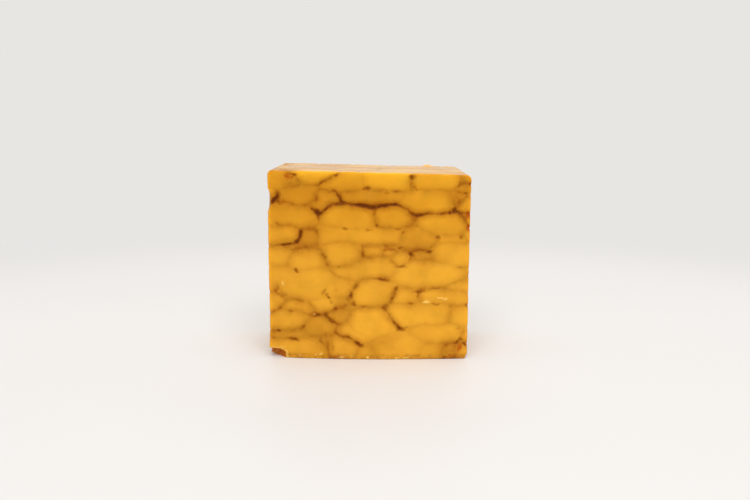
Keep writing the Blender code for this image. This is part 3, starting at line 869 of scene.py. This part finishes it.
def spots(places, table):
    """The strongest of a table's spots (x, z, half width, half height, tilt, strength) at each place."""
    total = np.zeros(len(places))
    for x, z, half_width, half_height, tilt, strength in table:
        turn = math.radians(tilt)
        across = (places[:, 0] - x) * math.cos(turn) + (places[:, 1] - z) * math.sin(turn)
        upward = (places[:, 1] - z) * math.cos(turn) - (places[:, 0] - x) * math.sin(turn)
        reach = (across / half_width) ** 2 + (upward / half_height) ** 2
        total = np.maximum(total, strength * np.exp(-reach * SPOT_FALL))
    return total


def blended_tones(own_curd, next_curds, distances):
    """Each point's tone, by its curd: the front's from the table, the others by chance."""
    rng = np.random.default_rng(TONE_SEED)
    count = max(own_curd.max(), next_curds.max()) + 1
    tones = np.clip(rng.normal(0, TONE_SPREAD, count), *TONE_RANGE)
    for number, row in enumerate(FRONT_CURDS):
        tones[number] = row[6]
    weights = np.exp(-distances / TONE_BLEND)
    return (tones[own_curd] + (tones[next_curds] * weights).sum(1)) / (1 + weights.sum(1))


def relief(points, outward, distance, ink, knots, crumbs_and_glints):
    """How far each point sinks below the cut faces. Crumbs rise above them."""
    shallow, deep = SEAM_DEPTH
    groove = np.clip(1 - distance / SEAM_SHOULDER, 0, 1) ** 1.5
    crown = np.clip(1 - distance / CROWN_SHOULDER, 0, 1) ** 2
    depth = (shallow + (deep - shallow) * ink) * groove + CROWN_DEPTH * crown
    depth += KNOT_DEPTH * np.clip(knots - KNOT_SHALLOWEST, 0, 1)
    depth -= CRUMB_RISE * np.clip(crumbs_and_glints - CRUMB_LOWEST, 0, 1)
    depth += ragged_foot(points, outward)
    return depth * (outward[:, 2] > -0.1)


def build_cheese():
    """The block's skin, with what its material needs to know kept at each point."""
    even_points, quads = lattice_shell()
    slide = free_to_slide(even_points)
    rounded, outward = round_edges(even_points)
    bed = lay_bed()
    flat = wear_edges(snap_to_seams(cut_shape(rounded, outward), slide, bed))
    distances, step, own_curd, rim, next_curds = seam_distances(flat, slide, bed)
    distance = np.maximum(rounded_distance(distances), 0)
    front = on_front(outward)
    hidden = (1 - front) * (outward[:, 2] < 0.5)
    places = rough_places(flat)
    ink = seam_ink(flat, front, own_curd, next_curds, distances)
    knots = spots(places, KNOTS) * front + chance_knots(flat, distances) * hidden
    crumbs_and_glints = spots(places, CRUMBS_AND_GLINTS) * front
    stains = spots(flat[:, :2] / MM, TOP_STAINS) * (outward[:, 2] > 0.5)

    points = flat - outward * relief(flat, outward, distance, ink, knots, crumbs_and_glints)[:, None]
    flake = on_flake(points, outward)
    points[:, 2] += FLAKE_HEIGHT * flake
    points = press_nick(points)
    bitten = bite_depth(points)
    points = break_corner(points)

    mesh = bpy.data.meshes.new("cheese_cut")
    mesh.from_pydata(points.tolist(), [], split_quads(flat, quads, distances[:, 0]).tolist())
    mesh.shade_smooth()
    layers = {
        "seam_mm": distance / MM,
        "height_mm": flat[:, 2] / MM,
        "rim": rim,
        "ink": ink,
        "tone": blended_tones(own_curd, next_curds, distances),
        "knot": knots,
        "crumb_and_glint": crumbs_and_glints,
        "pepper": spots(places, PEPPER_BITS) * front,
        "bloom": spots(places, BLOOMS) * front,
        "stain": np.maximum(stains, flake * 0.6),
        "bitten": bitten,
        "flake": flake,
        "top": np.clip(outward[:, 2] * 1.6 - 0.5, 0, 1),
        "painted_side_glow": near_edges(flat, outward),
        "painted_brow_glow": below_brow(flat),
    }
    for name, values in layers.items():
        layer = mesh.attributes.new(name, "FLOAT", "POINT")
        layer.data.foreach_set("value", np.asarray(values, dtype=np.float32))
    cheese = bpy.data.objects.new("cheese_cut", mesh)
    bpy.context.scene.collection.objects.link(cheese)
    return cheese


class Graph:
    """Short ways to add and join shader nodes."""

    def __init__(self, name):
        self.material = bpy.data.materials.new(name)
        self.material.use_nodes = True
        self.tree = self.material.node_tree
        self.shader = self.tree.nodes["Principled BSDF"]
        self.place = self.add("ShaderNodeTexCoord").outputs["Object"]

    def add(self, kind, **settings):
        node = self.tree.nodes.new(kind)
        for name, value in settings.items():
            setattr(node, name, value)
        return node

    def feed(self, socket, value):
        if isinstance(value, bpy.types.NodeSocket):
            self.tree.links.new(value, socket)
        elif isinstance(value, tuple) and len(value) == 3 and socket.type == "RGBA":
            socket.default_value = (*value, 1.0)
        else:
            socket.default_value = value

    def value(self, name):
        return self.add("ShaderNodeAttribute", attribute_name=name).outputs["Fac"]

    def math(self, operation, first, second=0.0, clamp=False):
        node = self.add("ShaderNodeMath", operation=operation, use_clamp=clamp)
        self.feed(node.inputs[0], first)
        self.feed(node.inputs[1], second)
        return node.outputs[0]

    def noise(self, scale, detail=3.0, roughness=0.5, stretch=(1, 1, 1)):
        mapping = self.add("ShaderNodeMapping")
        self.feed(mapping.inputs["Vector"], self.place)
        mapping.inputs["Scale"].default_value = stretch
        node = self.add("ShaderNodeTexNoise")
        self.feed(node.inputs["Vector"], mapping.outputs[0])
        node.inputs["Scale"].default_value = scale
        node.inputs["Detail"].default_value = detail
        node.inputs["Roughness"].default_value = roughness
        return node.outputs["Fac"]

    def ramp(self, factor, stops):
        node = self.add("ShaderNodeValToRGB")
        self.feed(node.inputs[0], factor)
        elements = node.color_ramp.elements
        for number, (place, colour) in enumerate(stops):
            element = elements[number] if number < 2 else elements.new(place)
            element.position = place
            element.color = (*colour, 1.0)
        return node.outputs[0]

    def chain(self, operation, values):
        result = values[0]
        for value in values[1:]:
            result = self.math(operation, result, value)
        return result

    def total(self, *values):
        return self.chain("ADD", values)

    def product(self, *values):
        return self.chain("MULTIPLY", values)

    def ranged(self, value, low, high, to_low=0.0, to_high=1.0, smooth=True):
        node = self.add("ShaderNodeMapRange")
        node.interpolation_type = "SMOOTHSTEP" if smooth else "LINEAR"
        for name, setting in (("Value", value), ("From Min", low), ("From Max", high),
                              ("To Min", to_low), ("To Max", to_high)):
            self.feed(node.inputs[name], setting)
        return node.outputs["Result"]

    def mix(self, factor, first, second, blend="MIX"):
        node = self.add("ShaderNodeMix", data_type="RGBA", blend_type=blend)
        self.feed(node.inputs[0], factor)
        self.feed(node.inputs[6], first)
        self.feed(node.inputs[7], second)
        return node.outputs[2]

    def bump(self, height, distance, strength, below=None):
        node = self.add("ShaderNodeBump")
        self.feed(node.inputs["Height"], height)
        node.inputs["Distance"].default_value = distance
        node.inputs["Strength"].default_value = strength
        if below is not None:
            self.feed(node.inputs["Normal"], below)
        return node.outputs["Normal"]


def seam_darkness(g, ragged, cloud):
    """How much the seams and their haloes darken the cheese, and the knots alone."""
    ink = g.value("ink")
    seam = g.value("seam_mm")
    rim = g.value("rim")
    faded = g.ranged(ink, 0.5, 0.85, 0.62, 0.92)
    ink = g.product(ink, g.ranged(g.noise(230, 3, 0.6), 0.36, 0.64, faded, 1.12))
    patchy = g.ranged(g.noise(150, 3, 0.55), 0.34, 0.62)
    torn = g.total(seam, g.product(ragged, 1.1))
    specks = g.ranged(g.noise(620, 4, 0.7), 0.38, 0.62, 0.55, 1.4)

    halo = g.product(g.ranged(seam, 3.2, 0.0), ink, 0.36, g.ranged(cloud, 0.0, 1.0, 0.7, 1.15))
    line = g.product(g.ranged(torn, 1.5, 0.0), g.ranged(ink, 0.0, 0.6, 0.01, 0.09),
                     g.ranged(patchy, 0.0, 1.0, 0.3, 1.3), specks)
    width = g.ranged(ink, 0.45, 1.0, 0.8, 1.15, smooth=False)
    core = g.product(g.ranged(torn, width, 0.0), g.ranged(ink, 0.45, 1.05, 0.0, 0.48),
                     g.ranged(g.total(patchy, ink), 0.6, 1.5, 0.5, 1.0), specks)
    meeting = g.product(g.ranged(g.total(rim, g.product(ragged, 0.6)), 0.0, 0.45),
                        g.ranged(ink, 0.1, 0.8, 0.04, 0.14))
    knot = g.product(g.value("knot"), g.ranged(seam, 1.8, 0.0, 0.75, 1.15))
    knot = g.ranged(g.total(knot, g.product(ragged, 0.9)), 0.15, 1.1, 0.0, 0.58)
    return g.total(halo, line, core, meeting, knot), knot


def curd_darkness(g, ragged, cloud, height, stain, top):
    """How much the curds' own tones, the stains and the foot darken the cheese, and the painted shade on
    the top.
    """
    tone = g.ranged(g.value("tone"), 0.4, -1.0, 0.0, 0.32, smooth=False)
    shade = g.ranged(g.noise(110, 3, 0.5), 0.3, 0.7, -0.04, 0.06)
    curve = g.ranged(g.value("rim"), -0.8, 0.3, 0.0, 0.07)
    bloom = g.product(g.value("bloom"), g.ranged(cloud, 0.0, 1.0, 0.10, 0.28))
    foot = g.product(g.ranged(g.total(height, g.product(ragged, 3.0)), 2.6, 0.8),
                     g.ranged(cloud, 0.0, 1.0, 0.0, 0.32))
    # Painted shade: the top a little darker
    return g.total(tone, shade, curve, bloom, foot, g.product(top, 0.08), g.product(stain, 0.4))


def curd_colour(g, dark, knot, height):
    """The cheese's colour: bright curd, with painted light along the edges, and darkened."""
    colour = g.mix(g.ranged(height, 35.0, 65.0), BRIGHT_LOW, BRIGHT_HIGH)
    colour = g.mix(g.ranged(g.noise(130, 3, 0.5), 0.45, 0.75, 0.0, 0.55), colour, OLIVE)
    clear = g.ranged(knot, 0.0, 0.5, 0.95, 0.1)
    # Painted light: a glow along the front's top edge and the upright edges, weaker on knots
    painted_brow_glow = g.product(g.value("painted_brow_glow"), clear)
    side_glow = g.product(g.value("painted_side_glow"), clear)
    glow = g.math("MAXIMUM", painted_brow_glow, side_glow)
    dark = g.math("MULTIPLY", dark, g.ranged(glow, 0.0, 1.0, 0.85, 0.36), clamp=True)
    colour = g.mix(side_glow, colour, GOLD_FLAKE_AND_EDGE_GLOW)
    colour = g.mix(painted_brow_glow, colour, BROW_PAINTED_GLOW)
    return g.mix(1.0, colour, g.ramp(dark, DARKENING), "MULTIPLY")


def crumb_and_glint_cover(g, ragged, height, bite):
    """Where pale crumbs and painted highlights lie: the table's, those along the foot, and the bite's
    broken rim.
    """
    crumb_and_glint = g.ranged(g.total(g.value("crumb_and_glint"), g.product(ragged, 0.9)), 0.5, 0.9)
    lip = g.product(g.ranged(g.noise(300, 4, 0.7), 0.53, 0.68), g.ranged(height, 2.4, 0.6), 0.6)
    broken = g.product(g.ranged(bite, 1.16, 1.06), g.ranged(bite, 0.98, 1.04), 0.65)
    return g.math("MAXIMUM", g.math("MAXIMUM", crumb_and_glint, lip), broken)


def cheese_material():
    """Moist, slightly clear cheese, with a thin film of grease on the top."""
    g = Graph("cheddar_cut")
    top = g.value("top")
    stain = g.value("stain")
    height = g.value("height_mm")
    cloud = g.ranged(g.noise(300, 4, 0.6), 0.3, 0.7)
    ragged = g.math("SUBTRACT", g.noise(850, 4, 0.65), 0.5)
    bite = g.total(g.value("bitten"), g.product(ragged, 0.15))
    crumb_and_glint = crumb_and_glint_cover(g, ragged, height, bite)

    seams, knot = seam_darkness(g, ragged, cloud)
    dark = g.total(seams, curd_darkness(g, ragged, cloud, height, stain, top))
    colour = curd_colour(g, dark, knot, height)
    pepper = g.total(g.value("pepper"), g.product(ragged, 0.8))
    colour = g.mix(g.ranged(pepper, 0.25, 0.95, 0.0, 0.85), colour, PEPPER)
    # Crumbs, and painted highlights from the table
    colour = g.mix(crumb_and_glint, colour, CRUMB_AND_GLINT)
    colour = g.mix(g.math("MULTIPLY", g.value("flake"), 0.8, clamp=True), colour, GOLD_FLAKE_AND_EDGE_GLOW)
    # The bite's wall: its own brown stain together with painted shade
    colour = g.mix(g.ranged(bite, 1.03, 0.92, 0.0, 0.9), colour, BITE_WALL_STAIN_AND_SHADE)

    g.feed(g.shader.inputs["Base Color"], colour)
    g.feed(g.shader.inputs["Roughness"], g.ranged(g.noise(260, 4, 0.6), 0.3, 0.7, 0.42, 0.60))
    g.shader.inputs["Specular IOR Level"].default_value = 0.06
    g.shader.inputs["Subsurface Weight"].default_value = 0.35
    g.shader.inputs["Subsurface Radius"].default_value = (1.0, 0.45, 0.12)
    g.shader.inputs["Subsurface Scale"].default_value = 0.003
    grease = g.ranged(g.noise(60, 3, 0.5, stretch=(0.5, 1.5, 1)), 0.3, 0.7, 0.60, 0.80)
    grease = g.product(grease, g.ranged(stain, 0.0, 1.0, 1.0, 0.35), top)
    g.feed(g.shader.inputs["Coat Weight"], grease)
    g.shader.inputs["Coat Roughness"].default_value = 0.2
    normal = g.bump(g.noise(2600, 3, 0.6), 0.00005, 0.5)
    normal = g.bump(g.noise(420, 4, 0.55), 0.00025, 0.35, normal)
    normal = g.bump(g.noise(240, 3, 0.6, stretch=(1, 1, 9)), 0.00012, 0.3, normal)
    normal = g.bump(crumb_and_glint, 0.0003, 0.5, normal)
    g.feed(g.shader.inputs["Normal"], normal)
    g.feed(g.shader.inputs["Coat Normal"], g.bump(g.noise(120, 2, 0.5), 0.0001, 0.2))
    return g.material


def floor_material():
    """Pale card, painted lighter towards the back and beside the block, that fades, away from the block,
    into the same air that lies behind it.
    """
    g = Graph("floor")
    g.shader.inputs["Roughness"].default_value = 0.6
    parts = g.add("ShaderNodeSeparateXYZ")
    g.feed(parts.inputs[0], g.place)
    length = g.add("ShaderNodeVectorMath", operation="LENGTH")
    g.feed(length.inputs[0], g.place)
    # Painted light: the card lighter towards the back and right beside the block
    card_and_painted_light = g.mix(g.ranged(parts.outputs["Y"], *FLOOR_TURN, smooth=False), FLOOR_NEAR, FLOOR_FAR_PAINTED_LIGHTER)
    card_and_painted_light = g.mix(g.ranged(length.outputs["Value"], *FLOOR_BESIDE), card_and_painted_light, FLOOR_BY_BLOCK_PAINTED_LIGHTER)
    g.feed(g.shader.inputs["Base Color"],
           g.mix(g.ranged(g.noise(14, 3, 0.5), 0.35, 0.65, 0.0, 0.06), card_and_painted_light, AIR_BEHIND))
    g.feed(g.shader.inputs["Normal"], g.bump(g.noise(900, 3, 0.5), 0.0001, 0.1))
    backward = g.math("DIVIDE", parts.outputs["Y"], length.outputs["Value"])
    air = g.add("ShaderNodeEmission")
    g.feed(air.inputs["Color"], g.mix(g.ranged(backward, *AIR_TURN), AIR_BEFORE, AIR_BEHIND))
    blend = g.add("ShaderNodeMixShader")
    g.feed(blend.inputs[0], g.ranged(length.outputs["Value"], *FLOOR_FADE))
    g.feed(blend.inputs[1], g.shader.outputs[0])
    g.feed(blend.inputs[2], air.outputs[0])
    g.feed(g.tree.nodes["Material Output"].inputs["Surface"], blend.outputs[0])
    return g.material


def build_air():
    """Pale surroundings, a little brighter behind the block than before it."""
    world = bpy.data.worlds.new("studio")
    bpy.context.scene.world = world
    world.use_nodes = True
    tree = world.node_tree
    way = tree.nodes.new("ShaderNodeTexCoord")
    parts = tree.nodes.new("ShaderNodeSeparateXYZ")
    share = tree.nodes.new("ShaderNodeMapRange")
    share.interpolation_type = "SMOOTHSTEP"
    share.inputs["From Min"].default_value, share.inputs["From Max"].default_value = AIR_TURN
    mix = tree.nodes.new("ShaderNodeMix")
    mix.data_type = "RGBA"
    mix.inputs[6].default_value = (*AIR_BEFORE, 1)
    mix.inputs[7].default_value = (*AIR_BEHIND, 1)
    tree.links.new(way.outputs["Generated"], parts.inputs[0])
    tree.links.new(parts.outputs["Y"], share.inputs["Value"])
    tree.links.new(share.outputs["Result"], mix.inputs[0])
    tree.links.new(mix.outputs[2], tree.nodes["Background"].inputs["Color"])


def hang_softbox(name, place, tilt, watts):
    """A soft light, tilted about X, that the camera doesn't see."""
    lamp = bpy.data.lights.new(name, "AREA")
    lamp.shape = "RECTANGLE"
    lamp.size, lamp.size_y = SOFTBOX_SIZE
    lamp.energy = watts
    box = bpy.data.objects.new(name, lamp)
    box.location = place
    box.rotation_euler = (tilt, 0, 0)
    box.visible_camera = False
    bpy.context.scene.collection.objects.link(box)


def build_stage():
    """A wide pale floor that fades into the pale surroundings, soft light, and the camera."""
    mesh = bpy.data.meshes.new("floor")
    mesh.from_pydata([(-FLOOR_REACH, -FLOOR_REACH, 0), (FLOOR_REACH, -FLOOR_REACH, 0),
                      (FLOOR_REACH, FLOOR_REACH, 0), (-FLOOR_REACH, FLOOR_REACH, 0)], [],
                     [(0, 1, 2, 3)])
    floor = bpy.data.objects.new("floor", mesh)
    floor.location.z = -FLOOR_DROP
    bpy.context.scene.collection.objects.link(floor)
    mesh.materials.append(floor_material())
    build_air()

    hang_softbox("front_box", FRONT_BOX_AT, FRONT_BOX_TILT, FRONT_BOX_WATTS)
    hang_softbox("back_box", BACK_BOX_AT, BACK_BOX_TILT, BACK_BOX_WATTS)

    eye = bpy.data.cameras.new("camera")
    eye.lens = LENS
    eye.sensor_width = SENSOR
    eye.clip_start = 0.01
    camera = bpy.data.objects.new("camera", eye)
    camera.location = CAMERA_AT
    camera.rotation_euler = (math.radians(90) - CAMERA_PITCH, 0, 0)
    bpy.context.scene.collection.objects.link(camera)
    bpy.context.scene.camera = camera
    bpy.context.scene.view_settings.view_transform = "Standard"


cheese = build_cheese()
cheese.data.materials.append(cheese_material())
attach(cheese, "root")
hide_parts("cheese_block")
build_stage()
